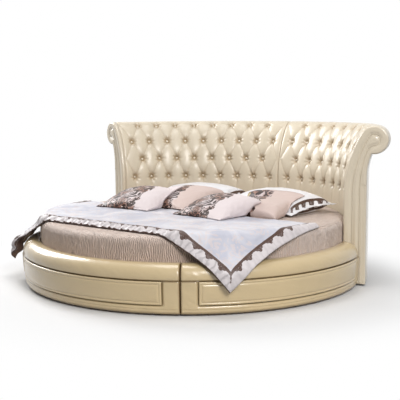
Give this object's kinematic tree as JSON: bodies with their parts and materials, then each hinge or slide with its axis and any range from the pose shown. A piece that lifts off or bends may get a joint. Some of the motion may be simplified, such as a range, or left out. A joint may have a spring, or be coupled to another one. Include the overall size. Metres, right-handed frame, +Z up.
{
  "type": "round bed",
  "caption": "Round upholstered bed with a curved, deep-buttoned scroll-top headboard, padded leather rails with raised panels, slatted base, mattress, duvet and pillows",
  "frame": {"origin": "on the floor under the middle of the round mattress, at the underside of the centre leg's glide", "axes": "+Z up, +Y towards the middle of the headboard, -Y towards the foot"},
  "size_m": [2.6736, 2.6447, 1.1061],
  "materials": {
    "pearl_leather": "pearl cream leather with a soft gloss, closed grain",
    "panel_leather": "pearl cream leather with a soft gloss, stretched over a padded panel",
    "tufted_leather": "pearl cream leather with a soft gloss, deep buttoned",
    "button_leather": "pearl cream leather pulled over button moulds",
    "back_leather": "pearl cream leather, plain and lightly padded",
    "rail_timber": "raw glued board",
    "ledge_timber": "raw planed softwood",
    "frame_plywood": "raw plywood",
    "former_board": "rolled bendy board former",
    "beam_timber": "planed softwood",
    "slat_timber": "planed light softwood",
    "bracket_steel": "dark powder-coated steel, satin",
    "bolt_steel": "zinc-plated steel",
    "glide_plastic": "dark moulded plastic",
    "mattress_ticking": "woven ticking",
    "cover_cloth": "finely ribbed and puckered taupe cloth",
    "duvet_satin": "white and lilac satin with a faint peach pattern, brown lace band near its border",
    "white_satin": "white satin, flange with a brown lace band",
    "peach_satin": "rosy beige satin, one end in a dark brown floral pattern",
    "print_satin": "pale satin, one half in a dark brown floral pattern"
  },
  "bodies": {
    "root": {"foot_rail_box": "rail_timber", "foot_rail_cover": "pearl_leather", "foot_rail_panel": "panel_leather", "foot_ledge": "ledge_timber", "left_rail_box": "rail_timber", "left_rail_cover": "pearl_leather", "left_rail_panel": "panel_leather", "left_ledge": "ledge_timber", "right_rail_box": "rail_timber", "right_rail_cover": "pearl_leather", "right_rail_panel": "panel_leather", "right_ledge": "ledge_timber", "headboard_base_beam_left": "frame_plywood", "headboard_ribs_left": "frame_plywood", "headboard_stringer_left": "frame_plywood", "headboard_scroll_core_left": "former_board", "headboard_tufted_pad_left": "tufted_leather", "headboard_buttons_left": "button_leather", "headboard_back_cover_left": "back_leather", "headboard_end_facing_left": "pearl_leather", "headboard_ledge_left": "ledge_timber", "headboard_base_beam_right": "frame_plywood", "headboard_ribs_right": "frame_plywood", "headboard_stringer_right": "frame_plywood", "headboard_scroll_core_right": "former_board", "headboard_tufted_pad_right": "tufted_leather", "headboard_buttons_right": "button_leather", "headboard_back_cover_right": "back_leather", "headboard_end_facing_right": "pearl_leather", "headboard_ledge_right": "ledge_timber", "joining_plates": "bracket_steel", "beam_hangers": "bracket_steel", "leg_plates": "bracket_steel", "joining_bolts": "bolt_steel", "centre_beam": "beam_timber", "cross_beam_left": "beam_timber", "cross_beam_right": "beam_timber", "leg_centre": "beam_timber", "leg_foot": "beam_timber", "leg_head": "beam_timber", "leg_left": "beam_timber", "leg_right": "beam_timber", "leg_glides": "glide_plastic", "rim_glides": "glide_plastic", "slats": "slat_timber", "mattress": "mattress_ticking", "fitted_cover": "cover_cloth", "duvet": "duvet_satin", "white_pillow_left": "white_satin", "white_pillow_right": "white_satin", "satin_pillow_left": "peach_satin", "satin_pillow_right": "peach_satin", "print_cushion_left": "print_satin", "print_cushion_right": "print_satin"}
  },
  "joints": []
}
